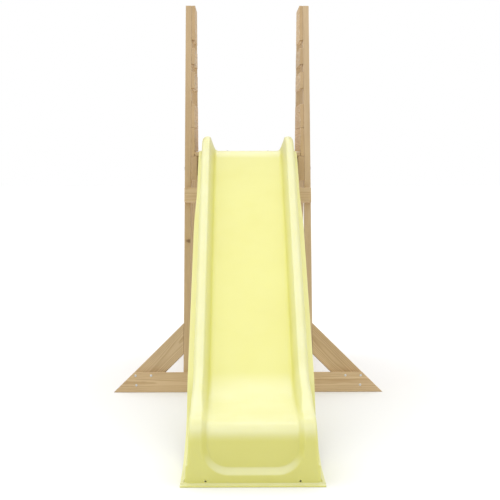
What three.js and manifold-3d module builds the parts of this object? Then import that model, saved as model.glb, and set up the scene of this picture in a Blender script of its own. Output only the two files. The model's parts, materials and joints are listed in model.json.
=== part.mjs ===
// Straight slide: an A-frame tower of planed boards with a one-piece moulded chute.
// Millimetres, +Z up. The chute runs down towards -Y and the ladder stands at +Y; +X is on the right
// of someone at the foot of the chute who looks at it. The pieces are laid out with Y = 0 at the foot
// of the front posts, and the whole group is moved at the end so that its origin is on the ground
// under the middle.
import * as THREE from 'three';
import { mergeVertices } from 'three/addons/utils/BufferGeometryUtils.js';
import Module from 'manifold-3d';

const wasm = await Module();
wasm.setup();

// ---- Timber sizes and the tower's side view ----
const CLEARANCE = 0.3; // left between pieces that touch
const TIMBER = 32; // thickness of posts, beams, bearers and treads
const BOARD = 100; // width of posts, stringers and the base beam
const PANEL = 18; // thickness of the side guard boards
const DECK = 22; // thickness of the deck boards

const TOWER_TOP = 1968;
const TOWER_HALF = 326; // middle to the outer face of a post
const FRONT_LEAN = 0.25; // the front posts lean back by this much for each millimetre of height
const REAR_LEAN = 0.18; // the stringers lean forward by this much
const REAR_FOOT_Y = 1157; // rear edge of the stringers on the ground, from the posts' front edge
const DECK_TOP = 1195.3;
const DECK_BOARDS = 5;
const DECK_GAP = 7.5;
const TREADS = 4;

const LEG_INNER = TOWER_HALF - TIMBER;
const STRINGER_INNER = TOWER_HALF - 48; // the stringers are thicker than the posts
const HOUSING_STOP = 20; // wood left behind the ends of the boards that are let into a stringer
const GROUND_RAIL_TOP = 72;
const BEARER_DEPTH = 125;
const PANEL_OUTER = LEG_INNER - CLEARANCE;
const PANEL_INNER = LEG_INNER - PANEL;
const BEARER_INNER = LEG_INNER - TIMBER;
const FRONT_ANGLE = Math.atan(FRONT_LEAN);

// ---- Side stabilisers ----
const BEAM_HALF = 672; // middle to the tip of the base beam
const BRACE_TIP = 668; // middle to the brace's outer edge on the ground
const BEAM_LOW = -8; // the beam's lower edge, up the posts' slope; the ground cuts it level
const BRACE_WIDTH = 110;
const CROSSBAR_LOW = 961; // up the posts' slope
const CROSSBAR_WIDTH = 76;

// ---- Side guards, as pairs of lower and upper edge ----
const GUARDS = [
  ['guard_sill', DECK_TOP - DECK + CLEARANCE, 1320],
  ['guard_panel', 1321, 1445],
  ['guard_slat_low', 1529, 1614],
  ['guard_slat_high', 1656, 1741],
  ['guard_top', 1784, TOWER_TOP],
];

// ---- Chute: s runs forward from the tower's front edge at deck height ----
const SHELL = 5; // wall thickness of the moulding
const CHUTE_START_Y = FRONT_LEAN * (DECK_TOP + 5);
const BED_TOP = DECK_TOP + CLEARANCE + SHELL;
const FLANGE_BACK = 60; // reach of the chute over the deck
const FLAT_END = 45;
const TOP_RADIUS = 190;
const SLOPE = Math.atan(0.725);
const RUNOUT_RADIUS = 420;
const RUNOUT_SLOPE = THREE.MathUtils.degToRad(1.5);
const NOSE_RADIUS = 70;
const NOSE_S = 1837; // centre of the nose
const NOSE_Z = 145;
const FOOT_FLANGE = 21; // reach of the foot flange in front of the face
const RAIL_HIGH = 70; // rail above the bed, square to it
const RAIL_EARS = 75;
const RAIL_NOSE = 24;
const RECESS_HALF = 177;
const RECESS_BOTTOM = 50;
const RECESS_CORNER = 90;
const RECESS_BAND = 15; // half the width of the recess's sloping edge
const HOLE_X = 172;
const HOLE_Z = 16;
const HOLE_RADIUS = 4;

// ---- Materials ----
const PINE = '#c9a67c';
const SHADED_PINE = '#bd9a6e';
const PLASTIC = '#f4f0a0';
const STEEL = '#b8babd';

const pine = () => new THREE.MeshStandardMaterial({ color: PINE, roughness: 0.75, metalness: 0 });
const deckPine = () => new THREE.MeshStandardMaterial({ color: SHADED_PINE, roughness: 0.8, metalness: 0 });
const plastic = () => new THREE.MeshStandardMaterial({ color: PLASTIC, roughness: 0.42, metalness: 0 });
const steel = () => new THREE.MeshStandardMaterial({ color: STEEL, roughness: 0.35, metalness: 1 });

const pieces = new Map();

function addPiece(name, geometry, material) {
  pieces.set(name, { geometry, material });
}

// ---- Solids ----
function toSolid(geometry) {
  const bare = geometry.clone();
  bare.deleteAttribute('normal');
  bare.deleteAttribute('uv');
  const merged = mergeVertices(bare, 1e-4);
  return new wasm.Manifold(new wasm.Mesh({
    numProp: 3,
    vertProperties: new Float32Array(merged.attributes.position.array),
    triVerts: new Uint32Array(merged.index.array),
  }));
}

function toGeometry(solid) {
  const mesh = solid.getMesh();
  const geometry = new THREE.BufferGeometry();
  geometry.setAttribute('position', new THREE.BufferAttribute(mesh.vertProperties, 3));
  geometry.setIndex(new THREE.BufferAttribute(mesh.triVerts, 1));
  geometry.computeVertexNormals();
  return geometry;
}

function cut(geometry, tool) {
  return toGeometry(toSolid(geometry).subtract(toSolid(tool)));
}

function aboveGround(geometry) {
  const earth = new THREE.BoxGeometry(2000, 400, 100);
  earth.translate(0, 0, -50);
  return cut(geometry, earth);
}

// ---- Boards ----
const AXIS_X = new THREE.Vector3(1, 0, 0);
const AXIS_Y = new THREE.Vector3(0, 1, 0);
const AXIS_Z = new THREE.Vector3(0, 0, 1);

// A board whose outline is drawn in the side view, as [y, z] points, between two x planes.
function sideBoard(xLow, xHigh, outline) {
  const shape = new THREE.Shape(outline.map(([y, z]) => new THREE.Vector2(y, z)));
  const geometry = new THREE.ExtrudeGeometry(shape, { depth: xHigh - xLow, bevelEnabled: false });
  geometry.applyMatrix4(new THREE.Matrix4().makeBasis(AXIS_Y, AXIS_Z, AXIS_X));
  geometry.translate(xLow, 0, 0);
  return geometry;
}

// A board that lies in the leaning front plane: its outline is [x, distance up the slope], and
// it reaches from depthBack to depthFront, measured square to the plane and positive backwards.
function leaningBoard(outline, depthFront, depthBack) {
  const shape = new THREE.Shape(outline.map(([x, up]) => new THREE.Vector2(x, up)));
  const geometry = new THREE.ExtrudeGeometry(shape, { depth: depthBack - depthFront, bevelEnabled: false });
  geometry.translate(0, 0, -depthBack);
  const upSlope = new THREE.Vector3(0, Math.sin(FRONT_ANGLE), Math.cos(FRONT_ANGLE));
  const outwards = new THREE.Vector3(0, -Math.cos(FRONT_ANGLE), Math.sin(FRONT_ANGLE));
  geometry.applyMatrix4(new THREE.Matrix4().makeBasis(AXIS_X, upSlope, outwards));
  return geometry;
}

function box(xLow, xHigh, yLow, yHigh, zLow, zHigh) {
  const geometry = new THREE.BoxGeometry(xHigh - xLow, yHigh - yLow, zHigh - zLow);
  geometry.translate((xLow + xHigh) / 2, (yLow + yHigh) / 2, (zLow + zHigh) / 2);
  return geometry;
}

// x planes for a piece on one side, from its distances to the middle
function onSide(side, inner, outer) {
  return side > 0 ? [inner, outer] : [-outer, -inner];
}

const frontEdge = (z) => FRONT_LEAN * z;
const rearEdge = (z) => REAR_FOOT_Y - REAR_LEAN * z;

const SIDES = [['left', -1], ['right', 1]];

// ---- Legs ----
for (const [label, side] of SIDES) {
  const [xLow, xHigh] = onSide(side, LEG_INNER, TOWER_HALF);
  const postDepth = BOARD / Math.cos(FRONT_ANGLE);
  addPiece(`front_post_${label}`, sideBoard(xLow, xHigh, [
    [0, 0],
    [postDepth, 0],
    [frontEdge(TOWER_TOP) + postDepth, TOWER_TOP],
    [frontEdge(TOWER_TOP), TOWER_TOP],
  ]), pine());
}

// The stringers' inner faces have housings, open to the front, for the boards that meet them. One
// housing takes the bearer and the two guard boards above it.
const bearerTop = DECK_TOP - DECK - CLEARANCE;
const bearerLow = bearerTop - BEARER_DEPTH;
const stringerDepth = BOARD / Math.cos(Math.atan(REAR_LEAN));
const HOUSINGS = [
  [-10, GROUND_RAIL_TOP],
  [bearerLow, GUARDS[1][2]],
  [GUARDS[2][1], GUARDS[2][2]],
  [GUARDS[3][1], GUARDS[3][2]],
  [GUARDS[4][1], TOWER_TOP + 10],
];
for (const [label, side] of SIDES) {
  const [xLow, xHigh] = onSide(side, STRINGER_INNER, TOWER_HALF);
  let stringer = sideBoard(xLow, xHigh, [
    [REAR_FOOT_Y - stringerDepth, 0],
    [REAR_FOOT_Y, 0],
    [rearEdge(TOWER_TOP), TOWER_TOP],
    [rearEdge(TOWER_TOP) - stringerDepth, TOWER_TOP],
  ]);
  const [cutLow, cutHigh] = onSide(side, STRINGER_INNER - 5, LEG_INNER);
  for (const [low, high] of HOUSINGS) {
    const [zLow, zHigh] = [low - CLEARANCE, high + CLEARANCE];
    const stop = HOUSING_STOP - CLEARANCE;
    stringer = cut(stringer, sideBoard(cutLow, cutHigh, [
      [rearEdge(zLow) - 130, zLow],
      [rearEdge(zLow) - stop, zLow],
      [rearEdge(zHigh) - stop, zHigh],
      [rearEdge(zHigh) - 130, zHigh],
    ]));
  }
  addPiece(`rear_stringer_${label}`, stringer, pine());
}

// ---- Side guards: boards on the posts' inner faces, cut along the posts and let into the stringers ----
function betweenEdges(zLow, zHigh) {
  return [
    [frontEdge(zLow), zLow],
    [rearEdge(zLow) - HOUSING_STOP, zLow],
    [rearEdge(zHigh) - HOUSING_STOP, zHigh],
    [frontEdge(zHigh), zHigh],
  ];
}

for (const [label, side] of SIDES) {
  const [xLow, xHigh] = onSide(side, PANEL_INNER, PANEL_OUTER);
  for (const [name, zLow, zHigh] of GUARDS) {
    addPiece(`${name}_${label}`, sideBoard(xLow, xHigh, betweenEdges(zLow, zHigh)), pine());
  }
}

// ---- Platform ----
const deckFront = CHUTE_START_Y;
const deckDepth = rearEdge(DECK_TOP) - 10 - deckFront;
const deckWidth = (deckDepth - (DECK_BOARDS - 1) * DECK_GAP) / DECK_BOARDS;

for (const [label, side] of SIDES) {
  const [xLow, xHigh] = onSide(side, BEARER_INNER, PANEL_OUTER);
  const bearer = sideBoard(xLow, xHigh, betweenEdges(bearerLow, bearerTop));
  addPiece(`deck_bearer_${label}`, bearer, pine());
}
const railHalf = BEARER_INNER - CLEARANCE;
const railLow = bearerTop - BOARD;
const crossRail = (yLow, zLow, zHigh) => box(-railHalf, railHalf, yLow, yLow + TIMBER, zLow, zHigh);
addPiece('deck_rail_front', crossRail(deckFront + 5, railLow, bearerTop), pine());
addPiece('deck_rail_rear', crossRail(rearEdge(bearerTop) - 12 - TIMBER, railLow, bearerTop), pine());

for (let i = 0; i < DECK_BOARDS; i += 1) {
  const y = deckFront + i * (deckWidth + DECK_GAP);
  const half = PANEL_INNER - CLEARANCE;
  const board = box(-half, half, y, y + deckWidth, DECK_TOP - DECK, DECK_TOP);
  addPiece(`deck_board_${i + 1}`, board, deckPine());
}

// ---- Ladder ----
const treadRise = DECK_TOP / (TREADS + 1);
const treadHalf = STRINGER_INNER - CLEARANCE;
for (let i = 1; i <= TREADS; i += 1) {
  const top = i * treadRise;
  const back = rearEdge(top) - 2;
  const tread = box(-treadHalf, treadHalf, back - BOARD + 2, back, top - TIMBER, top);
  addPiece(`ladder_tread_${i}`, tread, deckPine());
}

// ---- Ground rails ----
for (const [label, side] of SIDES) {
  const [xLow, xHigh] = onSide(side, BEARER_INNER, PANEL_OUTER);
  const rail = sideBoard(xLow, xHigh, betweenEdges(0, GROUND_RAIL_TOP));
  addPiece(`ground_rail_${label}`, rail, pine());
}
addPiece('foot_rail_rear', crossRail(rearEdge(BOARD) - 20 - TIMBER, 0, BOARD), pine());

// ---- Front crossbar, base beam and braces, all in the leaning front plane ----
addPiece('front_crossbar', leaningBoard([
  [-TOWER_HALF, CROSSBAR_LOW],
  [TOWER_HALF, CROSSBAR_LOW],
  [TOWER_HALF, CROSSBAR_LOW + CROSSBAR_WIDTH],
  [-TOWER_HALF, CROSSBAR_LOW + CROSSBAR_WIDTH],
], -CLEARANCE - TIMBER, -CLEARANCE), pine());

const beamTop = BEAM_LOW + BOARD;
addPiece('front_base_beam', aboveGround(leaningBoard([
  [-BEAM_HALF, BEAM_LOW],
  [BEAM_HALF, BEAM_LOW],
  [BEAM_HALF - BOARD, beamTop],
  [BOARD - BEAM_HALF, beamTop],
], -CLEARANCE - TIMBER, -CLEARANCE)), pine());

for (const [label, side] of SIDES) {
  const atPost = TOWER_HALF + CLEARANCE;
  const across = BRACE_WIDTH * Math.SQRT2; // the brace runs at 45 degrees
  addPiece(`front_brace_${label}`, aboveGround(leaningBoard([
    [side * BRACE_TIP, 0],
    [side * atPost, BRACE_TIP - atPost],
    [side * atPost, BRACE_TIP - atPost - across],
    [side * (BRACE_TIP - across), 0],
  ], CLEARANCE, TIMBER)), pine());
}

// ---- Chute ----
const lerp = THREE.MathUtils.lerp;
const smooth = THREE.MathUtils.smoothstep;

const WALL_X = 236; // foot of the outer wall, from the middle
const WALL_X_TOE = 250;
const FLANGE_X_TOP = 252; // edge of the side flange
const FLANGE_X_SLOPE = 260;
const FLANGE_X_TOE = 264;
const FLANGE_DROP = 26; // flange below the bed, square to it
const NOSE_FOOT_S = 1760; // where the flange has reached the ground
const FACE_FOOT_S = 1872;
const FACE_S = NOSE_S + NOSE_RADIUS + RAIL_NOSE;

// Height of the rails above the bed, square to it
function railHeight(s) {
  if (s < 0) {
    const back = Math.min((s + FLANGE_BACK) / 40, 1);
    return lerp(18, RAIL_EARS, Math.sqrt(1 - (1 - back) ** 2));
  }
  const body = lerp(RAIL_EARS, RAIL_HIGH, smooth(s, 60, 330));
  return lerp(body, RAIL_NOSE, smooth(s, 1560, NOSE_S));
}

// Half the width of the front face, with a small step low down
function faceHalf(z) {
  return lerp(243, 236, z / NOSE_Z) + 6 * smooth(-z, -82, -68);
}

// The front face around the recess: 0 on the recess's floor, 1 on the face beside and below it
function recessEdge(x, z) {
  const dx = x - (RECESS_HALF - RECESS_CORNER);
  const dz = RECESS_BOTTOM + RECESS_CORNER - z;
  const distance = (dx > 0 && dz > 0 ? Math.hypot(dx, dz) : Math.max(dx, dz)) - RECESS_CORNER;
  return smooth(distance, -RECESS_BAND, RECESS_BAND);
}

// The bed's line in the side view. Each row is one cross-section: a point on the bed, the slope
// angle there counted down from level, how far it has turned onto the front face, and the line of
// the side flange with the direction that is up from it.
function chuteRows() {
  const rows = [];
  const add = (s, z, angle, more) => rows.push({
    s,
    z,
    angle,
    high: railHeight(s),
    onFace: 0,
    corner: 232,
    wall: WALL_X,
    edge: lerp(FLANGE_X_TOP, FLANGE_X_SLOPE, smooth(s, 330, 575)),
    ...more,
  });
  const onSlope = (s, z, angle) => {
    const normal = [Math.sin(angle), Math.cos(angle)];
    const drop = FLANGE_DROP * smooth(s, 5, 110);
    add(s, z, angle, { foot: [s - drop * normal[0], z - drop * normal[1]], up: normal });
  };

  // level over the deck, then the arc that turns down
  for (const s of [-FLANGE_BACK, -54, -42, -20, 5, FLAT_END]) {
    onSlope(s, BED_TOP, 0);
  }
  for (let i = 1; i <= 4; i += 1) {
    const angle = SLOPE * i / 4;
    onSlope(FLAT_END + TOP_RADIUS * Math.sin(angle), BED_TOP - TOP_RADIUS * (1 - Math.cos(angle)), angle);
  }

  // the straight slope, up to the arc that levels it out
  const start = rows[rows.length - 1];
  const fall = Math.tan(SLOPE);
  const drift = Math.tan(RUNOUT_SLOPE);
  const noseS = NOSE_S + NOSE_RADIUS * Math.sin(RUNOUT_SLOPE);
  const noseZ = NOSE_Z + NOSE_RADIUS * Math.cos(RUNOUT_SLOPE);
  const kneeS = (start.z - noseZ + fall * start.s - drift * noseS) / (fall - drift);
  const tangent = RUNOUT_RADIUS * Math.tan((SLOPE - RUNOUT_SLOPE) / 2);
  const arcS = kneeS - tangent * Math.cos(SLOPE);
  const slopeZ = (s) => start.z - fall * (s - start.s);
  for (const s of [330, 450, 575, 950, arcS - 1]) {
    onSlope(s, slopeZ(s), SLOPE);
  }

  // the run-out, where the side walls reach down to the ground
  const above = rows[rows.length - 1];
  const flangeLine = new THREE.CubicBezierCurve(
    new THREE.Vector2(...above.foot),
    new THREE.Vector2(above.foot[0] + 100, above.foot[1] - 100 * fall),
    new THREE.Vector2(above.foot[0] + 70, 30),
    new THREE.Vector2(NOSE_FOOT_S, SHELL),
  );
  const onRunout = (s, z, angle) => {
    const part = (s - arcS + 1) / (noseS - arcS + 1);
    const foot = flangeLine.getPoint(part);
    const tilt = SLOPE * (1 - smooth(part, 0, 0.7));
    add(s, z, angle, {
      foot: [foot.x, foot.y],
      up: [Math.sin(tilt), Math.cos(tilt)],
      wall: lerp(WALL_X, WALL_X_TOE, smooth(part, 0.2, 1)),
      edge: lerp(FLANGE_X_SLOPE, FLANGE_X_TOE, smooth(part, 0.4, 1)),
    });
  };
  const centreS = arcS + RUNOUT_RADIUS * Math.sin(SLOPE);
  const centreZ = slopeZ(arcS) + RUNOUT_RADIUS * Math.cos(SLOPE);
  for (let i = 1; i <= 6; i += 1) {
    const angle = lerp(SLOPE, RUNOUT_SLOPE, i / 6);
    onRunout(centreS - RUNOUT_RADIUS * Math.sin(angle), centreZ - RUNOUT_RADIUS * Math.cos(angle), angle);
  }
  const levelS = rows[rows.length - 1].s;
  for (const part of [0.4, 0.75, 1]) {
    const s = lerp(levelS, noseS, part);
    onRunout(s, noseZ + drift * (noseS - s), RUNOUT_SLOPE);
  }

  // over the nose and down the front face
  const onToe = (s, z, angle, footS, onFace) => add(s, z, angle, {
    foot: [footS, SHELL],
    up: [0, 1],
    onFace,
    corner: lerp(232, faceHalf(z), onFace),
    wall: WALL_X_TOE,
    edge: FLANGE_X_TOE,
    high: RAIL_NOSE,
  });
  for (let i = 1; i <= 5; i += 1) {
    const angle = lerp(RUNOUT_SLOPE, Math.PI / 2, i / 5);
    const s = NOSE_S + NOSE_RADIUS * Math.sin(angle);
    const z = NOSE_Z + NOSE_RADIUS * Math.cos(angle);
    onToe(s, z, angle, lerp(NOSE_FOOT_S, FACE_FOOT_S, i / 5), i / 5);
  }
  for (const z of [125, 100, 82, 68, 58, 46, 34, 22, 12]) {
    onToe(NOSE_S + NOSE_RADIUS, z, Math.PI / 2, lerp(FACE_S, FACE_FOOT_S, z / NOSE_Z), 1);
  }
  return rows;
}

// One cross-section of the upper surface as [x, s, z] points, from the middle out to the edge of
// the flange. Widths are from the middle, and heights are square to the bed.
function section(row) {
  const { high, onFace, corner } = row;
  const [normalS, normalZ] = [Math.sin(row.angle), Math.cos(row.angle)];
  const fillet = 6 + 14 * Math.min(1, high / 60);
  const low = 5 * smooth(-high, -64, -RAIL_NOSE); // a low rail's inner wall is steeper
  const inner = [
    [0, 0],
    [75, 0],
    [120, 0],
    [148, 0],
    [160, 0.11 * fillet],
    [169, 0.45 * fillet],
    [174, fillet],
    [188 - low, 0.8 * high],
    [191 - low, 0.915 * high],
    [197 - low, 0.985 * high],
  ].map(([x, n]) => [x, lerp(n, high * recessEdge(x, row.z), onFace)]);
  const outer = [
    [207, high],
    [lerp(218, corner - 14, onFace), lerp(0.97 * high, high, onFace)],
    [lerp(227, corner - 4, onFace), lerp(0.87 * high, high - 2, onFace)],
    [corner, lerp(0.71 * high, high - 10, onFace)],
  ];
  const points = [...inner, ...outer].map(([x, n]) => [x, row.s + n * normalS, row.z + n * normalZ]);

  const shoulder = points[points.length - 1];
  const [footS, footZ] = row.foot;
  const rise = Math.min(1, Math.hypot(shoulder[1] - footS, shoulder[2] - footZ) / 30);
  const aboveFoot = (x, up) => [x, footS + row.up[0] * up * rise, footZ + row.up[1] * up * rise];
  const wallFoot = aboveFoot(row.wall, 7);
  const middle = shoulder.map((value, axis) => lerp(value, wallFoot[axis], 0.5));
  const flange = [aboveFoot(row.wall + 2, 2), aboveFoot(row.wall + 6, 0), aboveFoot(row.edge, 0)];
  return [...points, middle, wallFoot, ...flange];
}

// The flange in front of the face: level rows that lead out to its edge
function flangeRow(template, s, z) {
  const last = template.length - 1;
  return template.map(([x], j) => [j === last ? FLANGE_X_TOE : x, s, z]);
}

function chuteGrid() {
  const half = chuteRows().map(section);
  const template = half[half.length - 1];
  half.push(flangeRow(template, FACE_S + 3, SHELL + 1.5));
  half.push(flangeRow(template, FACE_S + 9, SHELL));
  half.push(flangeRow(template, FACE_S + FOOT_FLANGE, SHELL));
  return half.map((points) => {
    const mirrored = points.slice(1).reverse().map(([x, s, z]) => [-x, s, z]);
    return [...mirrored, ...points];
  });
}

// A closed shell from a grid of points: the grid is its upper surface
function shellGeometry(grid, thickness) {
  const rowCount = grid.length;
  const columnCount = grid[0].length;
  const top = grid.flat().map(([x, s, z]) => new THREE.Vector3(x, CHUTE_START_Y - s, z));
  const at = (i, j) => i * columnCount + j;
  const faces = [];
  for (let i = 0; i < rowCount - 1; i += 1) {
    for (let j = 0; j < columnCount - 1; j += 1) {
      faces.push([at(i, j), at(i + 1, j), at(i, j + 1)]);
      faces.push([at(i, j + 1), at(i + 1, j), at(i + 1, j + 1)]);
    }
  }
  const surface = new THREE.BufferGeometry().setFromPoints(top);
  surface.setIndex(faces.flat());
  surface.computeVertexNormals();
  const normals = surface.attributes.normal;
  const under = top.map((point, index) => {
    const normal = new THREE.Vector3().fromBufferAttribute(normals, index);
    const moved = point.clone().addScaledVector(normal, -thickness);
    moved.z = point.z > thickness ? Math.max(moved.z, 0) : 0; // the foot flange lies flat on the ground
    return moved;
  });
  const count = top.length;
  const rim = [];
  const lastRow = rowCount - 1;
  const lastColumn = columnCount - 1;
  for (let j = 0; j < lastColumn; j += 1) {
    rim.push([at(0, j), at(0, j + 1)], [at(lastRow, j + 1), at(lastRow, j)]);
  }
  for (let i = 0; i < lastRow; i += 1) {
    rim.push([at(i, lastColumn), at(i + 1, lastColumn)], [at(i + 1, 0), at(i, 0)]);
  }
  const walls = rim.flatMap(([a, b]) => [[a, b, b + count], [a, b + count, a + count]]);
  const undersides = faces.map(([a, b, c]) => [a + count, c + count, b + count]);
  const geometry = new THREE.BufferGeometry().setFromPoints([...top, ...under]);
  geometry.setIndex([...faces, ...undersides, ...walls].flat());
  return geometry;
}

// A cylinder along an axis direction, from one point
function cylinderAlong(from, direction, length, radius, sides) {
  const geometry = new THREE.CylinderGeometry(radius, radius, length, sides);
  geometry.translate(0, length / 2, 0);
  geometry.applyQuaternion(new THREE.Quaternion().setFromUnitVectors(AXIS_Y, direction));
  geometry.translate(from.x, from.y, from.z);
  return geometry;
}

let chute = shellGeometry(chuteGrid(), SHELL);
for (const [, side] of SIDES) {
  const from = new THREE.Vector3(side * HOLE_X, CHUTE_START_Y - FACE_S - 15, HOLE_Z);
  chute = cut(chute, cylinderAlong(from, AXIS_Y, 30, HOLE_RADIUS, 10));
}
addPiece('chute', chute, plastic());

// ---- Fasteners: domed screws whose shanks lie in bores with clearance ----
const BORE_CLEARANCE = 0.4;

function screwGeometry(size, length) {
  const { head, rise, shank } = size;
  const profile = [
    [0, -length],
    [shank, 3 - length],
    [shank, CLEARANCE],
    [head, CLEARANCE],
    [head, CLEARANCE + 0.35 * rise],
    [0.6 * head, CLEARANCE + 0.85 * rise],
    [0, CLEARANCE + rise],
  ].map(([radius, height]) => new THREE.Vector2(radius, height));
  return new THREE.LatheGeometry(profile, 8);
}

// A screw whose head sits on a face at a point, driven against the outward direction, and the bores
// that it needs in the named pieces
function addScrew(name, size, point, outward, length, through) {
  const screw = screwGeometry(size, length);
  screw.applyQuaternion(new THREE.Quaternion().setFromUnitVectors(AXIS_Y, outward));
  screw.translate(point.x, point.y, point.z);
  addPiece(name, screw, steel());
  const from = point.clone().addScaledVector(outward, 2);
  const inward = outward.clone().negate();
  const bore = cylinderAlong(from, inward, length + 3, size.shank + BORE_CLEARANCE, 8);
  for (const target of through) {
    const piece = pieces.get(target);
    piece.geometry = cut(piece.geometry, bore);
  }
}

const WOOD_SCREW = { head: 6, rise: 2.6, shank: 2.5 };
const COACH_SCREW = { head: 11, rise: 5, shank: 4 };

// base beam to braces: three screws a side, placed by distance out and height
const leaningOut = new THREE.Vector3(0, -Math.cos(FRONT_ANGLE), Math.sin(FRONT_ANGLE));
const beamFaceDepth = (CLEARANCE + TIMBER) / Math.cos(FRONT_ANGLE);
for (const [label, side] of SIDES) {
  [[564, 80], [560, 34], [487, 80]].forEach(([x, z], i) => {
    const point = new THREE.Vector3(side * x, FRONT_LEAN * z - beamFaceDepth, z);
    const through = ['front_base_beam', `front_brace_${label}`];
    addScrew(`beam_screw_${label}_${i + 1}`, WOOD_SCREW, point, leaningOut, 52, through);
  });
}

// through the legs from outside, into the treads, bearers and ground rails
for (const [label, side] of SIDES) {
  const outward = AXIS_X.clone().multiplyScalar(side);
  const post = `front_post_${label}`;
  const stringer = `rear_stringer_${label}`;
  const half = BOARD / 2;
  const drive = (name, y, z, length, through) => {
    const point = new THREE.Vector3(side * TOWER_HALF, y, z);
    addScrew(`${name}_${label}`, COACH_SCREW, point, outward, length, through);
  };
  for (const [kind, inside, z] of [
    ['bearer_screw', `deck_bearer_${label}`, (bearerLow + bearerTop) / 2],
    ['rail_screw', `ground_rail_${label}`, GROUND_RAIL_TOP / 2],
  ]) {
    drive(`${kind}_front`, frontEdge(z) + half, z, 58, [post, inside]);
    // the lower one runs on into the end of the foot rail
    const intoFootRail = kind === 'rail_screw';
    const through = intoFootRail ? [stringer, inside, 'foot_rail_rear'] : [stringer, inside];
    drive(`${kind}_rear`, rearEdge(z) - half, z, intoFootRail ? 110 : 58, through);
  }
  for (let i = 1; i <= TREADS; i += 1) {
    const z = i * treadRise - TIMBER / 2;
    drive(`tread_screw_${i}`, rearEdge(z) - half, z, 80, [stringer, `ladder_tread_${i}`]);
  }
}

// top of the chute, through the first deck board into the rail under it
for (const [label, side] of SIDES) {
  const point = new THREE.Vector3(side * 105, deckFront + 5 + TIMBER / 2, BED_TOP);
  const through = ['chute', 'deck_board_1', 'deck_rail_front'];
  addScrew(`chute_screw_${label}`, WOOD_SCREW, point, AXIS_Z, 50, through);
}

// ---- Assembly ----
const slide = new THREE.Group();
const frontY = CHUTE_START_Y - FACE_S - FOOT_FLANGE;
slide.position.y = -(frontY + REAR_FOOT_Y) / 2;
for (const [name, piece] of pieces) {
  const mesh = new THREE.Mesh(piece.geometry, piece.material);
  mesh.name = name;
  slide.add(mesh);
}

export default slide;
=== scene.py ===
"""The looks of a straight slide: a pine A-frame tower with a yellow moulded chute.

Metres, +Z up. The chute runs down towards -Y, the ladder stands at +Y and left is -X.
"""
import json
import math
import random

import bmesh
import bpy
from mathutils import Matrix, Vector


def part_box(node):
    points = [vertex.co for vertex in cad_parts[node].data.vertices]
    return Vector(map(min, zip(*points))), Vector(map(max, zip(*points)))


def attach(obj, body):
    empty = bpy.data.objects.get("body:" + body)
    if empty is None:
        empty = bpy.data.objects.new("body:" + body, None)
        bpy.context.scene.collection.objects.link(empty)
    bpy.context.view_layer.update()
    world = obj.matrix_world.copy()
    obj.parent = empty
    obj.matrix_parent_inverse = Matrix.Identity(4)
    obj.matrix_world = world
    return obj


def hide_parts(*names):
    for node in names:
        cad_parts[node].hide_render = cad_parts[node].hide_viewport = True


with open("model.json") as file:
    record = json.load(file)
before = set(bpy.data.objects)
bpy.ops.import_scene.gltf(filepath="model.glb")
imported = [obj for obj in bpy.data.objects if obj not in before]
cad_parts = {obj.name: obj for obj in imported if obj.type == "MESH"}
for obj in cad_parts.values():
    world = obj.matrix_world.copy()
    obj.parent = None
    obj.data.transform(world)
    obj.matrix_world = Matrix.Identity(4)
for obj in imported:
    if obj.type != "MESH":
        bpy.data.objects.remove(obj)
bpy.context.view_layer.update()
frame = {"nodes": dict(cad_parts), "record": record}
nodes = frame["nodes"]

# ---- Camera: in front of the chute's foot, a little above the platform's height ----
CAMERA_PLACE = (-0.060, -5.4525, 1.221)
CAMERA_PITCH = math.radians(5.118)
CAMERA_YAW = math.radians(0.690)
CAMERA_LENS = 82.8


def make_camera():
    data = bpy.data.cameras.new("camera")
    data.lens = CAMERA_LENS
    data.sensor_width = 36
    data.clip_end = 100
    camera = bpy.data.objects.new("camera", data)
    camera.location = CAMERA_PLACE
    camera.rotation_euler = (math.pi / 2 - CAMERA_PITCH, 0, -CAMERA_YAW)
    bpy.context.collection.objects.link(camera)
    bpy.context.scene.camera = camera


# ---- Small helpers ----
def lerp(a, b, t):
    return a + (b - a) * t


def smooth(x, low, high):
    t = min(1.0, max(0.0, (x - low) / (high - low)))
    return t * t * (3 - 2 * t)


def spread(low, high, count):
    """count + 1 even values from low to high."""
    return [lerp(low, high, i / count) for i in range(count + 1)]


def finish_mesh(bm, name, material, replaced):
    """Turns a bmesh into a piece that rides on the object."""
    bmesh.ops.recalc_face_normals(bm, faces=bm.faces)
    mesh = bpy.data.meshes.new(name)
    bm.to_mesh(mesh)
    bm.free()
    mesh.materials.append(material)
    piece = bpy.data.objects.new(name, mesh)
    bpy.context.collection.objects.link(piece)
    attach(piece, "root")
    if replaced:
        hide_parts(*replaced)
    return piece


# ---- Material helpers ----
def new_material(name):
    material = bpy.data.materials.new(name)
    material.use_nodes = True
    tree = material.node_tree
    tree.nodes.clear()
    output = tree.nodes.new("ShaderNodeOutputMaterial")
    shader = tree.nodes.new("ShaderNodeBsdfPrincipled")
    tree.links.new(shader.outputs[0], output.inputs["Surface"])
    return material, tree, shader


def add_node(tree, kind, values, **settings):
    node = tree.nodes.new(kind)
    for key, setting in settings.items():
        setattr(node, key, setting)
    for key, value in values.items():
        if isinstance(value, bpy.types.NodeSocket):
            tree.links.new(value, node.inputs[key])
        else:
            node.inputs[key].default_value = value
    return node


def calc(tree, operation, a, b=0.0):
    return add_node(tree, "ShaderNodeMath", {0: a, 1: b}, operation=operation).outputs[0]


def along(tree, operation, a, b):
    """Vector maths with a vector result."""
    return add_node(tree, "ShaderNodeVectorMath", {0: a, 1: b}, operation=operation).outputs[0]


def measure(tree, operation, a, b=(0, 0, 0)):
    """Vector maths with a number as its result."""
    node = add_node(tree, "ShaderNodeVectorMath", {0: a, 1: b}, operation=operation)
    return node.outputs["Value"]


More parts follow.
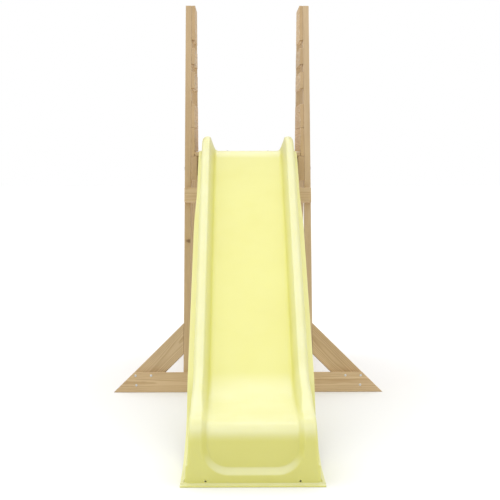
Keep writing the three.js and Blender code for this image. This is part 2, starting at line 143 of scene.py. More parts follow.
def noise(tree, vector, scale, detail=2.0, roughness=0.5):
    values = {"Vector": vector, "Scale": scale, "Detail": detail, "Roughness": roughness}
    return add_node(tree, "ShaderNodeTexNoise", values).outputs["Fac"]


def stretched_noise(tree, vector, stretch, detail=2.0, roughness=0.5):
    return noise(tree, along(tree, "MULTIPLY", vector, stretch), 1.0, detail, roughness)


def span(tree, value, low, high, to_low=0.0, to_high=1.0):
    """Maps low..high smoothly onto to_low..to_high, and holds the ends."""
    values = {0: value, 1: low, 2: high, 3: to_low, 4: to_high}
    return add_node(tree, "ShaderNodeMapRange", values, interpolation_type="SMOOTHSTEP").outputs[0]


def blend(tree, factor, a, b, kind="MIX"):
    values = {0: factor, 6: a, 7: b}
    return add_node(tree, "ShaderNodeMix", values, data_type="RGBA", blend_type=kind).outputs[2]


def bump(tree, height, depth, strength=1.0, onto=None):
    values = {"Height": height, "Distance": depth, "Strength": strength}
    if onto is not None:
        values["Normal"] = onto
    return add_node(tree, "ShaderNodeBump", values).outputs[0]


# ---- Pine ----
EARLY_WOOD = (0.656, 0.494, 0.298, 1)
LATE_WOOD = (0.482, 0.324, 0.164, 1)
KNOT = (0.150, 0.070, 0.028, 1)
PALE_EDGE = (0.67, 0.51, 0.33, 1)
RING_WIDTH = 0.0042
KNOT_CELLS = Vector((1.9, 7.0, 1.2))


def pine(name, turn, centre, chance):
    """Planed pine. turn rotates the board's length, width and thickness onto X, Y and Z."""
    material, tree, shader = new_material(name)
    coordinates = add_node(tree, "ShaderNodeTexCoord", {})
    board = add_node(tree, "ShaderNodeMapping", {
        "Vector": coordinates.outputs["Object"],
        "Rotation": turn.to_euler(),
        "Location": -(turn @ centre),
    }, vector_type="POINT").outputs[0]
    own = [chance.uniform(2, 40) for _ in range(3)]
    spot = along(tree, "ADD", board, own)

    # knots, as branches that cross the board's thickness
    cell = along(tree, "MULTIPLY", spot, KNOT_CELLS)
    voronoi = add_node(tree, "ShaderNodeTexVoronoi", {"Vector": cell, "Scale": 1.0, "Randomness": 0.85})
    away = along(tree, "SUBTRACT", cell, voronoi.outputs["Position"])
    squash = (0.72 / KNOT_CELLS.x, 1 / KNOT_CELLS.y, 0.45 / KNOT_CELLS.z)
    away = along(tree, "MULTIPLY", away, squash)
    wobble = stretched_noise(tree, spot, (60, 90, 90))
    reach = calc(tree, "ADD", measure(tree, "LENGTH", away), calc(tree, "MULTIPLY", wobble, 0.004))
    pick = add_node(tree, "ShaderNodeSeparateColor", {0: voronoi.outputs["Color"]})
    kept = calc(tree, "GREATER_THAN", pick.outputs[0], 0.58)
    size = span(tree, pick.outputs[1], 0, 1, 0.005, 0.011)
    ratio = calc(tree, "DIVIDE", reach, size)
    knot = calc(tree, "MULTIPLY", kept, span(tree, ratio, 0.65, 1.2, 1, 0))
    halo = calc(tree, "MULTIPLY", kept, span(tree, ratio, 0.9, 3.6, 1, 0))

    # growth rings round a pith beside the board, bent round the knots
    pith_v = chance.uniform(-0.02, 0.02)
    pith_w = chance.choice((-1, 1)) * chance.uniform(0.035, 0.075)
    lean_v = chance.uniform(-0.008, 0.008)
    lean_w = chance.uniform(-0.016, 0.016)
    parts = add_node(tree, "ShaderNodeSeparateXYZ", {0: board})
    length, width, depth = parts.outputs
    bend = calc(tree, "SUBTRACT", stretched_noise(tree, spot, (1.3, 5, 5)), 0.5)
    shift_v = calc(tree, "ADD", calc(tree, "MULTIPLY", length, lean_v), calc(tree, "MULTIPLY", bend, 0.05))
    shift_w = calc(tree, "ADD", calc(tree, "MULTIPLY", length, lean_w), calc(tree, "MULTIPLY", bend, 0.03))
    ring_point = add_node(tree, "ShaderNodeCombineXYZ", {
        0: calc(tree, "ADD", calc(tree, "SUBTRACT", width, pith_v), shift_v),
        1: calc(tree, "ADD", calc(tree, "SUBTRACT", depth, pith_w), shift_w),
    }).outputs[0]
    radius = calc(tree, "ADD", measure(tree, "LENGTH", ring_point), calc(tree, "MULTIPLY", halo, 0.011))
    year = calc(tree, "DIVIDE", radius, RING_WIDTH * chance.uniform(0.85, 1.3))
    year = calc(tree, "ADD", year, calc(tree, "MULTIPLY", stretched_noise(tree, spot, (9, 60, 60)), 0.5))
    phase = calc(tree, "FRACT", year)
    late = calc(tree, "MULTIPLY", span(tree, phase, 0.25, 0.85), span(tree, phase, 0.9, 1.0, 1, 0))

    # fibres and broad changes of tone
    fibre = stretched_noise(tree, spot, (14, 900, 900), 3, 0.6)
    streak = stretched_noise(tree, spot, (3, 130, 130), 3, 0.6)
    broad = stretched_noise(tree, spot, (1.6, 9, 9), 2)
    grain = calc(tree, "MULTIPLY", late, span(tree, streak, 0.3, 0.7, 0.45, 0.95))
    colour = blend(tree, grain, EARLY_WOOD, LATE_WOOD)
    colour = blend(tree, span(tree, fibre, 0.35, 0.75, 0, 0.30), colour, LATE_WOOD)
    tint = chance.uniform(0.92, 1.06)
    warm = chance.uniform(-0.02, 0.02)
    light_tone = (tint * (1.07 + warm), tint * 1.07, tint * (1.07 - 2 * warm), 1)
    dark_tone = (tint * (0.92 + warm), tint * 0.91, tint * (0.89 - 2 * warm), 1)
    tone = blend(tree, span(tree, broad, 0.3, 0.7), light_tone, dark_tone)
    colour = blend(tree, 1.0, colour, tone, "MULTIPLY")
    colour = blend(tree, calc(tree, "MULTIPLY", halo, 0.35), colour, LATE_WOOD)
    colour = blend(tree, calc(tree, "MULTIPLY", knot, 0.8), colour, KNOT)

    # sawn ends soak up stain, and the arrises are mixed towards a paler colour in patches
    ends = measure(tree, "DOT_PRODUCT", coordinates.outputs["Normal"], turn.row[0])
    ends = span(tree, calc(tree, "ABSOLUTE", ends), 0.55, 0.8)
    colour = blend(tree, calc(tree, "MULTIPLY", ends, 0.55), colour, LATE_WOOD)
    arris = add_node(tree, "ShaderNodeAttribute", {}, attribute_name="arris").outputs["Fac"]
    arris_patches = span(tree, stretched_noise(tree, spot, (25, 60, 60), 3), 0.4, 0.65, 0.1, 0.55)
    colour = blend(tree, calc(tree, "MULTIPLY", arris, arris_patches), colour, PALE_EDGE)

    rough = span(tree, streak, 0.3, 0.7, 0.52, 0.68)
    rough = calc(tree, "ADD", rough, calc(tree, "MULTIPLY", ends, 0.15))
    rough = calc(tree, "SUBTRACT", rough, calc(tree, "MULTIPLY", knot, 0.15))
    height = calc(tree, "ADD", calc(tree, "MULTIPLY", late, 0.6), calc(tree, "MULTIPLY", fibre, 0.7))
    height = calc(tree, "ADD", height, calc(tree, "MULTIPLY", knot, 0.8))
    tree.links.new(colour, shader.inputs["Base Color"])
    tree.links.new(rough, shader.inputs["Roughness"])
    tree.links.new(bump(tree, height, 0.00035, 0.7), shader.inputs["Normal"])
    shader.inputs["IOR"].default_value = 1.45
    return material


# ---- Moulded plastic ----
LEMON = (0.724, 0.702, 0.194, 1)
DEEP_LEMON = (0.700, 0.668, 0.169, 1)
# painted highlight: the paler colour, and the heights over which it fades out on the toe
PAINTED_HIGHLIGHT = (0.790, 0.775, 0.420, 1)
TOE_HIGHLIGHT_HEIGHTS = (0.20, 0.30)


def moulded_plastic():
    material, tree, shader = new_material("lemon_plastic")
    place = add_node(tree, "ShaderNodeTexCoord", {}).outputs["Object"]
    cloud = noise(tree, place, 2.5, 3)
    colour = blend(tree, span(tree, cloud, 0.3, 0.7), LEMON, DEEP_LEMON)
    # painted highlight: plastic that faces up, the top of the toe and the rail crests are mixed towards a
    # paler colour
    facing = add_node(tree, "ShaderNodeTexCoord", {}).outputs["Normal"]
    upward = add_node(tree, "ShaderNodeSeparateXYZ", {0: facing}).outputs[2]
    painted_highlight = span(tree, upward, 0.74, 0.95, 0, 0.8)
    height = add_node(tree, "ShaderNodeSeparateXYZ", {0: place}).outputs[2]
    low_down = span(tree, height, *TOE_HIGHLIGHT_HEIGHTS, 1, 0)
    toe_highlight = calc(tree, "MULTIPLY", low_down, span(tree, upward, 0.12, 0.70, 0, 0.75))
    painted_highlight = calc(tree, "MAXIMUM", painted_highlight, toe_highlight)
    # the rail crests get the painted highlight as well
    crest_highlight = add_node(tree, "ShaderNodeAttribute", {}, attribute_name="crest_highlight").outputs["Fac"]
    painted_highlight = calc(tree, "MAXIMUM", painted_highlight, calc(tree, "MULTIPLY", crest_highlight, 0.9))
    # noise breaks up the painted highlight in patches
    highlight_breakup = noise(tree, place, 9.0, 3)
    colour = blend(tree, calc(tree, "MULTIPLY", painted_highlight, span(tree, highlight_breakup, 0.2, 0.7, 0.8, 1)), colour, PAINTED_HIGHLIGHT)
    rubbed = stretched_noise(tree, place, (110, 3, 3), 4, 0.65)
    patches = noise(tree, place, 5.0, 2)
    scuff = calc(tree, "MULTIPLY", span(tree, rubbed, 0.5, 0.75), span(tree, patches, 0.4, 0.6))
    rough = calc(tree, "ADD", span(tree, patches, 0.3, 0.7, 0.36, 0.42), calc(tree, "MULTIPLY", scuff, 0.12))
    fine = noise(tree, place, 420.0, 2)
    coarse = calc(tree, "MULTIPLY", noise(tree, place, 60.0, 2), 0.7)
    skin = calc(tree, "ADD", fine, coarse)
    tree.links.new(colour, shader.inputs["Base Color"])
    tree.links.new(rough, shader.inputs["Roughness"])
    tree.links.new(bump(tree, skin, 0.00022, 0.6), shader.inputs["Normal"])
    shader.inputs["IOR"].default_value = 1.51
    shader.inputs["Specular IOR Level"].default_value = 0.85
    shader.inputs["Subsurface Weight"].default_value = 0.25
    shader.inputs["Subsurface Radius"].default_value = (1.0, 0.9, 0.35)
    shader.inputs["Subsurface Scale"].default_value = 0.03
    return material


# ---- Zinc-plated steel ----
ZINC_DARK = (0.62, 0.63, 0.64, 1)
ZINC_PALE = (0.80, 0.80, 0.79, 1)
ZINC_STAIN = (0.42, 0.37, 0.30, 1)


def zinc_steel():
    material, tree, shader = new_material("zinc_steel")
    place = add_node(tree, "ShaderNodeTexCoord", {}).outputs["Object"]
    spangle = add_node(tree, "ShaderNodeTexVoronoi", {"Vector": place, "Scale": 420.0})
    tone = add_node(tree, "ShaderNodeSeparateColor", {0: spangle.outputs["Color"]}).outputs[0]
    colour = blend(tree, tone, ZINC_DARK, ZINC_PALE)
    stain = noise(tree, place, 160.0, 3)
    colour = blend(tree, span(tree, stain, 0.55, 0.8, 0, 0.35), colour, ZINC_STAIN)
    tree.links.new(colour, shader.inputs["Base Color"])
    tree.links.new(span(tree, stain, 0.3, 0.8, 0.26, 0.48), shader.inputs["Roughness"])
    tree.links.new(bump(tree, noise(tree, place, 900.0, 2), 0.00006, 0.6), shader.inputs["Normal"])
    shader.inputs["Metallic"].default_value = 1.0
    return material


# ---- Boards: planed timber with eased arrises, one for each wooden node ----
ARRIS = 0.0026


def board_solid(node):
    """The plain solid of a wooden node, without the bores that its screws fill."""
    bm = bmesh.new()
    for vertex in nodes[node].data.vertices:
        bm.verts.new(vertex.co)
    bmesh.ops.remove_doubles(bm, verts=bm.verts, dist=1e-5)
    hull = bmesh.ops.convex_hull(bm, input=bm.verts)
    inner = set(hull["geom_interior"] + hull["geom_unused"])
    spare = [part for part in inner if isinstance(part, bmesh.types.BMVert)]
    bmesh.ops.delete(bm, geom=spare, context="VERTS")
    bmesh.ops.dissolve_limit(bm, angle_limit=math.radians(1.5), verts=bm.verts, edges=bm.edges)
    return bm


def board_axes(bm):
    """Rotation that takes the board's length, width and thickness to X, Y and Z."""
    longest = max(bm.edges, key=lambda edge: edge.calc_length())
    grain = (longest.verts[1].co - longest.verts[0].co).normalized()
    flat = max(bm.faces, key=lambda face: face.calc_area()).normal
    across = flat.cross(grain).normalized()
    return Matrix((grain, across, flat.normalized()))


def make_board(node, chance):
    bm = board_solid(node)
    turn = board_axes(bm)
    corners = [vertex.co.copy() for vertex in bm.verts]
    centre = sum(corners, Vector()) / len(corners)
    result = bmesh.ops.bevel(bm, geom=list(bm.edges), offset=ARRIS, segments=3, profile=0.5, affect="EDGES")
    layer = bm.loops.layers.float.new("arris")
    for face in result["faces"]:
        face.smooth = True
        for loop in face.loops:
            loop[layer] = 1.0
    low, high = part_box(node)
    for vertex in bm.verts:
        vertex.co = [min(max(value, floor), top) for value, floor, top in zip(vertex.co, low, high)]
    material = pine(f"pine_{node}", turn, centre, chance)
    return finish_mesh(bm, f"{node}_timber", material, [node])


def make_boards():
    wooden = [row for row in frame["record"]["subparts"] if row["material_slot"] in ("pine", "deck_pine")]
    for index, row in enumerate(sorted(wooden, key=lambda row: row["node"])):
        make_board(row["node"], random.Random(100 + index))


# ---- Screws, as radius of the head, rise of the dome and radius of the shank ----
RING_STEPS = 36
CLEARANCE = 0.0003
COACH_SCREW = (0.011, 0.005, 0.004)
WOOD_SCREW = (0.006, 0.0026, 0.0025)
BOARD_SCREW = (0.0048, 0.0012, 0.002)
BOARD_SCREW_LENGTH = 0.012
COACH_SCREWED = ("tread", "bearer", "rail")


def lathe_rings(bm, rings, place):
    """A closed solid from rings of (radius, height, lobes), from its tip to its middle on top."""
    loops = []
    for radius, height, lobes in rings:
        loop = []
        for i in range(RING_STEPS):
            angle = 2 * math.pi * i / RING_STEPS
            reach = radius * (1 + lobes * math.cos(6 * angle))
            point = Vector((reach * math.cos(angle), reach * math.sin(angle), height))
            loop.append(bm.verts.new(place @ point))
        loops.append(loop)
    for lower, upper in zip(loops, loops[1:]):
        for i in range(RING_STEPS):
            j = (i + 1) % RING_STEPS
            bm.faces.new((lower[i], lower[j], upper[j], upper[i])).smooth = True
    bm.faces.new(loops[0][::-1])
    bm.faces.new(loops[-1])


def domed_head(head, rise, shank, length):
    """Rings of a domed screw: shank, flange, dome and a six-lobed recess."""
    lift = CLEARANCE
    recess = 0.34 * head
    rings = [
        (0.15 * shank, -length, 0),
        (shank, 0.003 - length, 0),
        (shank, lift, 0),
        (0.97 * head, lift, 0),
        (head, lift + 0.06 * rise, 0),
        (head, lift + 0.2 * rise, 0),
        (0.97 * head, lift + 0.27 * rise, 0),
        (0.86 * head, lift + 0.3 * rise, 0),
    ]
    for i in range(1, 8):
        angle = math.pi / 2 * i / 8
        radius = 0.84 * head * math.cos(angle) + 0.02 * head
        rings.append((radius, lift + rise * (0.3 + 0.7 * math.sin(angle)), 0))
    rings = [ring for ring in rings if ring[0] > 1.12 * recess or ring[1] < 0]
    top = rings[-1][1] + 0.04 * rise
    rings += [
        (1.08 * recess, min(top, lift + rise), 0.02),
        (recess, min(top, lift + rise) - 0.02 * rise, 0.1),
        (0.96 * recess, lift + 0.45 * rise, 0.1),
        (0.5 * recess, lift + 0.4 * rise, 0.05),
    ]
    return rings


def make_screw(node, material):
    """A finer screw on the axis of a packed one, whose two furthest points are its tip and its dome."""
    points = [vertex.co.copy() for vertex in nodes[node].data.vertices]
    middle = sum(points, Vector()) / len(points)
    tip = max(points, key=lambda point: (point - middle).length)
    top = max(points, key=lambda point: (point - tip).length)
    outward = (top - tip).normalized()
    coach = any(word in node for word in COACH_SCREWED)
    head, rise, shank = COACH_SCREW if coach else WOOD_SCREW
    face = top - outward * (rise + CLEARANCE)
    place = Matrix.Translation(face) @ outward.to_track_quat("Z", "Y").to_matrix().to_4x4()
    bm = bmesh.new()
    lathe_rings(bm, domed_head(head, rise, shank, (face - tip).length), place)
    return finish_mesh(bm, f"{node}_steel", material, [node])


def make_screws(material):
    for row in sorted(frame["record"]["subparts"], key=lambda row: row["node"]):
        if row["material_slot"] == "steel":
            make_screw(row["node"], material)


def small_screws(name, spots, material):
    """Heads of the small screws that fix boards, as (point, outward) pairs: one piece for a group."""
    bm = bmesh.new()
    for point, outward in spots:
        turn = Vector(outward).to_track_quat("Z", "Y").to_matrix().to_4x4()
        place = Matrix.Translation(Vector(point)) @ turn
        lathe_rings(bm, domed_head(*BOARD_SCREW, BOARD_SCREW_LENGTH), place)
    return finish_mesh(bm, name, material, [])


# ---- Small screws that fix the guards and the deck boards ----
GUARDS = ("guard_sill", "guard_panel", "guard_slat_low", "guard_slat_high", "guard_top")
FRONT_LEAN = 0.25
REAR_LEAN = 0.18
HALF_LEG = 0.051
DECK_SCREW_X = 0.269


def guard_spots(label, side):
    """Two heads at each end of each guard, on its inner face over the leg behind it."""
    foot_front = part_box(f"front_post_{label}")[0].y
    foot_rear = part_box(f"rear_stringer_{label}")[1].y
    spots = []
    for guard in GUARDS:
        low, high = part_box(f"{guard}_{label}")
        face = low.x if side > 0 else high.x
        for z in (lerp(low.z, high.z, 0.28), lerp(low.z, high.z, 0.72)):
            for y in (foot_front + FRONT_LEAN * z + HALF_LEG, foot_rear - REAR_LEAN * z - HALF_LEG):
                spots.append(((face, y, z), (-side, 0, 0)))
    return spots


def deck_spots():
    """Two heads at each end of each deck board, over the bearers."""
    spots = []
    for i in range(1, 6):
        low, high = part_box(f"deck_board_{i}")
        for x in (-DECK_SCREW_X, DECK_SCREW_X):
            for y in (lerp(low.y, high.y, 0.27), lerp(low.y, high.y, 0.73)):
                spots.append(((x, y, high.z), (0, 0, 1)))
    return spots


def make_small_screws(material):
    for label, side in (("left", -1), ("right", 1)):
        small_screws(f"guard_{label}_fixings", guard_spots(label, side), material)
    small_screws("deck_fixings", deck_spots(), material)


# ---- Chute: its line and sections, from the numbers below, sampled finely ----
SHELL = 0.005
START_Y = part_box("deck_board_1")[0].y
BED_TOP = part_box("deck_board_1")[1].z + CLEARANCE + SHELL
FLANGE_BACK = 0.060
FLAT_END = 0.045
TOP_RADIUS = 0.190
SLOPE = math.atan(0.725)
RUNOUT_RADIUS = 0.420
RUNOUT_SLOPE = math.radians(1.5)
NOSE_RADIUS = 0.070
NOSE_S = 1.837
NOSE_Z = 0.145
RAIL_HIGH = 0.070
RAIL_EARS = 0.075
RAIL_NOSE = 0.024
RAIL_BACK = 0.018
RAIL_ROUND = 0.040
EARS_END = (0.060, 0.330)
RAIL_FALL_S = 1.560
CORNER_X = 0.232
WALL_X = 0.236
WALL_X_TOE = 0.250
FLANGE_X_TOP = 0.252
FLANGE_X = 0.260
FLANGE_DROP = 0.026
NOSE_FOOT_S = 1.760
FACE_FOOT_S = 1.872
FACE_S = NOSE_S + NOSE_RADIUS + RAIL_NOSE
FACE_HALF_FOOT = 0.243
FACE_HALF_TOP = 0.236
FACE_STEP = 0.006
FOOT_FLANGE = 0.021
FLANGE_X_TOE = 0.264
RECESS_HALF = 0.177
RECESS_BOTTOM = 0.050
RECESS_CORNER = 0.090
RECESS_BAND = 0.015
HOLE_X = 0.172
HOLE_Z = 0.016
HOLE_RADIUS = 0.004
COLUMN_STEPS = [4, 5, 5, 4, 4, 3, 6, 3, 4, 4, 4, 4, 4, 4, 4, 3, 3, 3]


def rail_height(s):
    if s < 0:
        back = min((s + FLANGE_BACK) / RAIL_ROUND, 1)
        return lerp(RAIL_BACK, RAIL_EARS, math.sqrt(1 - (1 - back) ** 2))
    body = lerp(RAIL_EARS, RAIL_HIGH, smooth(s, *EARS_END))
    return lerp(body, RAIL_NOSE, smooth(s, RAIL_FALL_S, NOSE_S))


def face_half(z):
    """Half the width of the front face, with a small step low down."""
    return lerp(FACE_HALF_FOOT, FACE_HALF_TOP, z / NOSE_Z) + FACE_STEP * smooth(-z, -0.082, -0.068)


def recess_edge(x, z):
    """0 on the floor of the face's recess, 1 on the face beside and below it."""
    dx = x - (RECESS_HALF - RECESS_CORNER)
    dz = RECESS_BOTTOM + RECESS_CORNER - z
    distance = (math.hypot(dx, dz) if dx > 0 and dz > 0 else max(dx, dz)) - RECESS_CORNER
    return smooth(distance, -RECESS_BAND, RECESS_BAND)


def chute_row(s, z, angle, **more):
    """One cross-section: a point on the bed, its slope, and the line of the side flange."""
    row = {
        "s": s,
        "z": z,
        "angle": angle,
        "high": rail_height(s),
        "on_face": 0.0,
        "corner": CORNER_X,
        "wall": WALL_X,
        "edge": lerp(FLANGE_X_TOP, FLANGE_X, smooth(s, 0.330, 0.575)),
    }
    row.update(more)
    return row


def slope_row(s, z, angle):
    normal = (math.sin(angle), math.cos(angle))
    drop = FLANGE_DROP * smooth(s, 0.005, 0.110)
    return chute_row(s, z, angle, foot=(s - drop * normal[0], z - drop * normal[1]), up=normal)


def bezier(points, t):
    """A point on a cubic Bezier curve in the side view."""
    weights = ((1 - t) ** 3, 3 * t * (1 - t) ** 2, 3 * t * t * (1 - t), t ** 3)
    return tuple(sum(w * point[axis] for w, point in zip(weights, points)) for axis in (0, 1))


def chute_rows():
    rows = [slope_row(s, BED_TOP, 0) for s in spread(-FLANGE_BACK, -0.020, 12)]
    rows += [slope_row(s, BED_TOP, 0) for s in spread(-0.020, FLAT_END, 6)[1:]]
    for angle in spread(0, SLOPE, 16)[1:]:
        s = FLAT_END + TOP_RADIUS * math.sin(angle)
        rows.append(slope_row(s, BED_TOP - TOP_RADIUS * (1 - math.cos(angle)), angle))

    # straight slope, up to the arc that levels it out
    start = rows[-1]
    fall = math.tan(SLOPE)
    drift = math.tan(RUNOUT_SLOPE)
    nose_s = NOSE_S + NOSE_RADIUS * math.sin(RUNOUT_SLOPE)
    nose_z = NOSE_Z + NOSE_RADIUS * math.cos(RUNOUT_SLOPE)
    knee = (start["z"] - nose_z + fall * start["s"] - drift * nose_s) / (fall - drift)
    arc_s = knee - RUNOUT_RADIUS * math.tan((SLOPE - RUNOUT_SLOPE) / 2) * math.cos(SLOPE)
    last_s = arc_s - 0.001
    for s in spread(start["s"], last_s, 60)[1:]:
        rows.append(slope_row(s, start["z"] - fall * (s - start["s"]), SLOPE))

    # run-out, where the side walls reach down to the ground
    above = rows[-1]["foot"]
    flange_line = (
        above,
        (above[0] + 0.100, above[1] - 0.100 * fall),
        (above[0] + 0.070, 0.030),
        (NOSE_FOOT_S, SHELL),
    )

    def runout_row(s, z, angle):
        part = (s - last_s) / (nose_s - last_s)
        tilt = SLOPE * (1 - smooth(part, 0, 0.7))
        return chute_row(
            s, z, angle,
            foot=bezier(flange_line, part),
            up=(math.sin(tilt), math.cos(tilt)),
            wall=lerp(WALL_X, WALL_X_TOE, smooth(part, 0.2, 1)),
            edge=lerp(FLANGE_X, FLANGE_X_TOE, smooth(part, 0.4, 1)),
        )

    centre_s = arc_s + RUNOUT_RADIUS * math.sin(SLOPE)
    centre_z = start["z"] - fall * (arc_s - start["s"]) + RUNOUT_RADIUS * math.cos(SLOPE)
    for angle in spread(SLOPE, RUNOUT_SLOPE, 30)[1:]:
        s = centre_s - RUNOUT_RADIUS * math.sin(angle)
        rows.append(runout_row(s, centre_z - RUNOUT_RADIUS * math.cos(angle), angle))
    for s in spread(rows[-1]["s"], nose_s, 14)[1:]:
        rows.append(runout_row(s, nose_z + drift * (nose_s - s), RUNOUT_SLOPE))

    # over the nose and down the front face
    def toe_row(s, z, angle, foot_s, on_face):
        return chute_row(
            s, z, angle,
            foot=(foot_s, SHELL),
            up=(0, 1),
            on_face=on_face,
            corner=lerp(CORNER_X, face_half(z), on_face),
            wall=WALL_X_TOE,
            edge=FLANGE_X_TOE,
            high=RAIL_NOSE,
        )

    for part in spread(0, 1, 22)[1:]:
        angle = lerp(RUNOUT_SLOPE, math.pi / 2, part)
        s = NOSE_S + NOSE_RADIUS * math.sin(angle)
        z = NOSE_Z + NOSE_RADIUS * math.cos(angle)
        rows.append(toe_row(s, z, angle, lerp(NOSE_FOOT_S, FACE_FOOT_S, part), part))
    for z in spread(NOSE_Z, 0.012, 48)[1:]:
        foot_s = lerp(FACE_S, FACE_FOOT_S, z / NOSE_Z)
        rows.append(toe_row(NOSE_S + NOSE_RADIUS, z, math.pi / 2, foot_s, 1))
    return rows


def eased(values, steps):
    """A smooth curve through values that never overshoots, with some steps in each interval."""
    slopes = [b - a for a, b in zip(values, values[1:])]
    tangents = [slopes[0]]
    for a, b in zip(slopes, slopes[1:]):
        tangents.append(2 * a * b / (a + b) if a * b > 0 else 0.0)
    tangents.append(slopes[-1])
    result = [values[0]]
    for i, count in enumerate(steps):
        for t in spread(0, 1, count)[1:]:
            result.append(
                values[i] * (1 + 2 * t) * (1 - t) ** 2
                + tangents[i] * t * (1 - t) ** 2
                + values[i + 1] * t * t * (3 - 2 * t)
                + tangents[i + 1] * t * t * (t - 1)
            )
    return result


def section(row):
    """Upper surface of one cross-section as (x, s, z), from the middle out to the flange's edge."""
    high, on_face, corner = row["high"], row["on_face"], row["corner"]
    normal = (math.sin(row["angle"]), math.cos(row["angle"]))
    fillet = 0.006 + 0.014 * min(1, high / 0.060)
    low = 0.005 * smooth(-high, -0.064, -RAIL_NOSE)
    profile = [
        (0, 0),
        (0.075, 0),
        (0.120, 0),
        (0.148, 0),
        (0.160, 0.11 * fillet),
        (0.169, 0.45 * fillet),
        (0.174, fillet),
        (0.188 - low, 0.8 * high),
        (0.191 - low, 0.915 * high),
        (0.197 - low, 0.985 * high),
        (0.207, high),
        (lerp(0.218, corner - 0.014, on_face), lerp(0.97 * high, high, on_face)),
        (lerp(0.227, corner - 0.004, on_face), lerp(0.87 * high, high - 0.002, on_face)),
        (corner, lerp(0.71 * high, high - 0.010, on_face)),
    ]
    shoulder_x, shoulder_n = profile[-1]
    shoulder = (shoulder_x, row["s"] + shoulder_n * normal[0], row["z"] + shoulder_n * normal[1])
    foot_s, foot_z = row["foot"]
    rise = min(1, math.hypot(shoulder[1] - foot_s, shoulder[2] - foot_z) / 0.030)

    def above_foot(x, up):
        return (x, foot_s + row["up"][0] * up * rise, foot_z + row["up"][1] * up * rise)

    wall_foot = above_foot(row["wall"], 0.007)
    middle = tuple(lerp(a, b, 0.5) for a, b in zip(shoulder, wall_foot))
    flange = [
        above_foot(row["wall"] + 0.002, 0.002),
        above_foot(row["wall"] + 0.006, 0),
        above_foot(row["edge"], 0),
    ]
    upper = [(x, row["s"] + n * normal[0], row["z"] + n * normal[1]) for x, n in profile]
    controls = upper + [middle, wall_foot] + flange
    xs, ss, zs = (eased([point[axis] for point in controls], COLUMN_STEPS) for axis in range(3))

    # the recessed part of the front face follows its own outline
    if on_face > 0:
        heights = eased([n for _, n in profile], COLUMN_STEPS[:len(profile) - 1])
        for i, (x, n) in enumerate(zip(xs, heights)):
            if x < 0.197:
                n = lerp(n, high * recess_edge(x, row["z"]), on_face)
                ss[i] = row["s"] + n * normal[0]
                zs[i] = row["z"] + n * normal[1]
    return list(zip(xs, ss, zs))


def chute_grid():
    """Points of the chute's upper surface: a row across for each place down its length."""
    half = [section(row) for row in chute_rows()]
    across = [point[0] for point in half[-1]]
    across[-1] = FLANGE_X_TOE
    for angle in spread(0, math.pi / 2, 8)[1:]:
        s = FACE_S + 0.009 * (1 - math.cos(angle))
        z = 0.012 - 0.007 * math.sin(angle)
        half.append([(x, s, z) for x in across])
    for s in spread(FACE_S + 0.009, FACE_S + FOOT_FLANGE, 3)[1:]:
        half.append([(x, s, SHELL) for x in across])
    grid = []
    for points in half:
        mirrored = [(-x, s, z) for x, s, z in points[:0:-1]]
        grid.append([Vector((x, START_Y - s, z)) for x, s, z in mirrored + points])
    return grid


def grid_normals(grid):
    """Upward unit normals of a grid, from each point's neighbours."""
    rows, columns = len(grid), len(grid[0])
    normals = []
    for i in range(rows):
        line = []
        for j in range(columns):
            down = grid[min(i + 1, rows - 1)][j] - grid[max(i - 1, 0)][j]
            across = grid[i][min(j + 1, columns - 1)] - grid[i][max(j - 1, 0)]
            line.append(down.cross(across).normalized())
        normals.append(line)
    return normals


def hole_cutter(x):
    """A rod through the front face, to cut a ground peg's hole."""
    bm = bmesh.new()
    turn = Matrix.Rotation(math.pi / 2, 4, "X")
    place = Matrix.Translation((x, START_Y - FACE_S + 0.030, HOLE_Z)) @ turn
    lathe_rings(bm, [(HOLE_RADIUS, 0, 0), (HOLE_RADIUS, 0.060, 0)], place)
    bmesh.ops.recalc_face_normals(bm, faces=bm.faces)
    mesh = bpy.data.meshes.new("cutter")
    bm.to_mesh(mesh)
    bm.free()
    cutter = bpy.data.objects.new("cutter", mesh)
    bpy.context.collection.objects.link(cutter)
    return cutter


def cut_holes(piece):
    """Cuts the two peg holes for good and removes the cutters."""
    for x in (-HOLE_X, HOLE_X):
        cutter = hole_cutter(x)
        modifier = piece.modifiers.new("hole", "BOOLEAN")
        modifier.object = cutter
        modifier.operation = "DIFFERENCE"
        modifier.solver = "EXACT"
        bpy.context.view_layer.update()
        evaluated = piece.evaluated_get(bpy.context.evaluated_depsgraph_get())
        cut = bpy.data.meshes.new_from_object(evaluated)
        piece.modifiers.clear()
        piece.data = cut
        bpy.data.objects.remove(cutter)


def crest_highlight_share(point):
    """1 on the tops of the side rails, where a highlight is painted, and 0 on the bed and the front face."""
    x = abs(point.x)
    on_slope = 1 - smooth(START_Y - point.y, NOSE_S - 0.060, NOSE_S + 0.030)
    return smooth(x, 0.166, 0.190) * (1 - 0.4 * smooth(x, 0.220, 0.236)) * on_slope


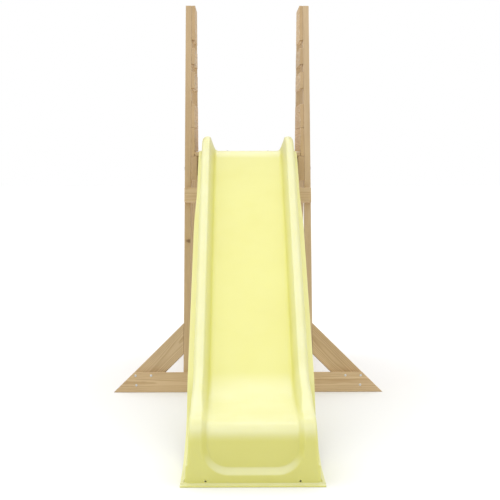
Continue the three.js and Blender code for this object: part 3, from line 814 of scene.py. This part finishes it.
def make_chute(material):
    grid = chute_grid()
    normals = grid_normals(grid)
    rows, columns = len(grid), len(grid[0])
    bm = bmesh.new()
    # mask of the painted highlight on the rail tops
    layer = bm.verts.layers.float.new("crest_highlight")
    top = [[bm.verts.new(point) for point in line] for line in grid]
    for line in top:
        for vertex in line:
            vertex[layer] = crest_highlight_share(vertex.co)
    under = []
    for line, directions in zip(grid, normals):
        below = [point - SHELL * normal for point, normal in zip(line, directions)]
        for point, above in zip(below, line):
            point.z = max(point.z, 0) if above.z > SHELL + 1e-6 else 0
        under.append([bm.verts.new(point) for point in below])
    for i in range(rows - 1):
        for j in range(columns - 1):
            bm.faces.new((top[i][j], top[i + 1][j], top[i + 1][j + 1], top[i][j + 1]))
            bm.faces.new((under[i][j], under[i][j + 1], under[i + 1][j + 1], under[i + 1][j]))
    rim = [(i, 0) for i in range(rows)] + [(rows - 1, j) for j in range(1, columns)]
    rim += [(i, columns - 1) for i in range(rows - 2, -1, -1)] + [(0, j) for j in range(columns - 2, 0, -1)]
    for (i, j), (k, l) in zip(rim, rim[1:] + rim[:1]):
        bm.faces.new((top[i][j], under[i][j], under[k][l], top[k][l]))
    for face in bm.faces:
        face.smooth = True
    piece = finish_mesh(bm, "chute_moulding", material, ["chute"])
    cut_holes(piece)
    piece.data.set_sharp_from_angle(angle=math.radians(35))
    return piece


# ---- Floor and light ----
AMBIENT = 0.78
OVERHEAD = 1.85
OVERHEAD_SPREAD = 100
OVERHEAD_FROM = (-0.14, 0.20, 1.0)
FLOOR_HALF = 30
FLOOR_DROP = 0.0004
FLOOR_GREY = (0.84, 0.84, 0.84, 1)
FLOOR_PALE = (0.86, 0.86, 0.86, 1)


def make_floor():
    bm = bmesh.new()
    bmesh.ops.create_grid(bm, x_segments=8, y_segments=8, size=FLOOR_HALF)
    for vertex in bm.verts:
        vertex.co.z = -FLOOR_DROP
    mesh = bpy.data.meshes.new("floor")
    bm.to_mesh(mesh)
    bm.free()
    material, tree, shader = new_material("pale_floor")
    place = add_node(tree, "ShaderNodeTexCoord", {}).outputs["Object"]
    tone = noise(tree, place, 0.8, 2)
    tree.links.new(blend(tree, tone, FLOOR_GREY, FLOOR_PALE), shader.inputs["Base Color"])
    shader.inputs["Roughness"].default_value = 0.8
    shader.inputs["Specular IOR Level"].default_value = 0.1
    mesh.materials.append(material)
    floor = bpy.data.objects.new("floor", mesh)
    bpy.context.collection.objects.link(floor)


def make_world():
    """A white studio: it is seen as plain white, and it lights the object less than that."""
    world = bpy.data.worlds.new("studio")
    world.use_nodes = True
    tree = world.node_tree
    seen = tree.nodes.new("ShaderNodeLightPath").outputs["Is Camera Ray"]
    strength = calc(tree, "ADD", calc(tree, "MULTIPLY", seen, 1 - AMBIENT), AMBIENT)
    background = tree.nodes["Background"]
    background.inputs["Color"].default_value = (1, 1, 1, 1)
    tree.links.new(strength, background.inputs["Strength"])
    bpy.context.scene.world = world


def make_light():
    """One broad soft light from above, a little behind and to the left."""
    data = bpy.data.lights.new("overhead", "SUN")
    data.energy = OVERHEAD
    data.angle = math.radians(OVERHEAD_SPREAD)
    light = bpy.data.objects.new("overhead", data)
    light.rotation_euler = Vector(OVERHEAD_FROM).to_track_quat("Z", "Y").to_euler()
    bpy.context.collection.objects.link(light)
    bpy.context.scene.view_settings.view_transform = "Standard"


make_camera()
make_world()
make_light()
make_floor()
steel = zinc_steel()
make_boards()
make_screws(steel)
make_small_screws(steel)
make_chute(moulded_plastic())
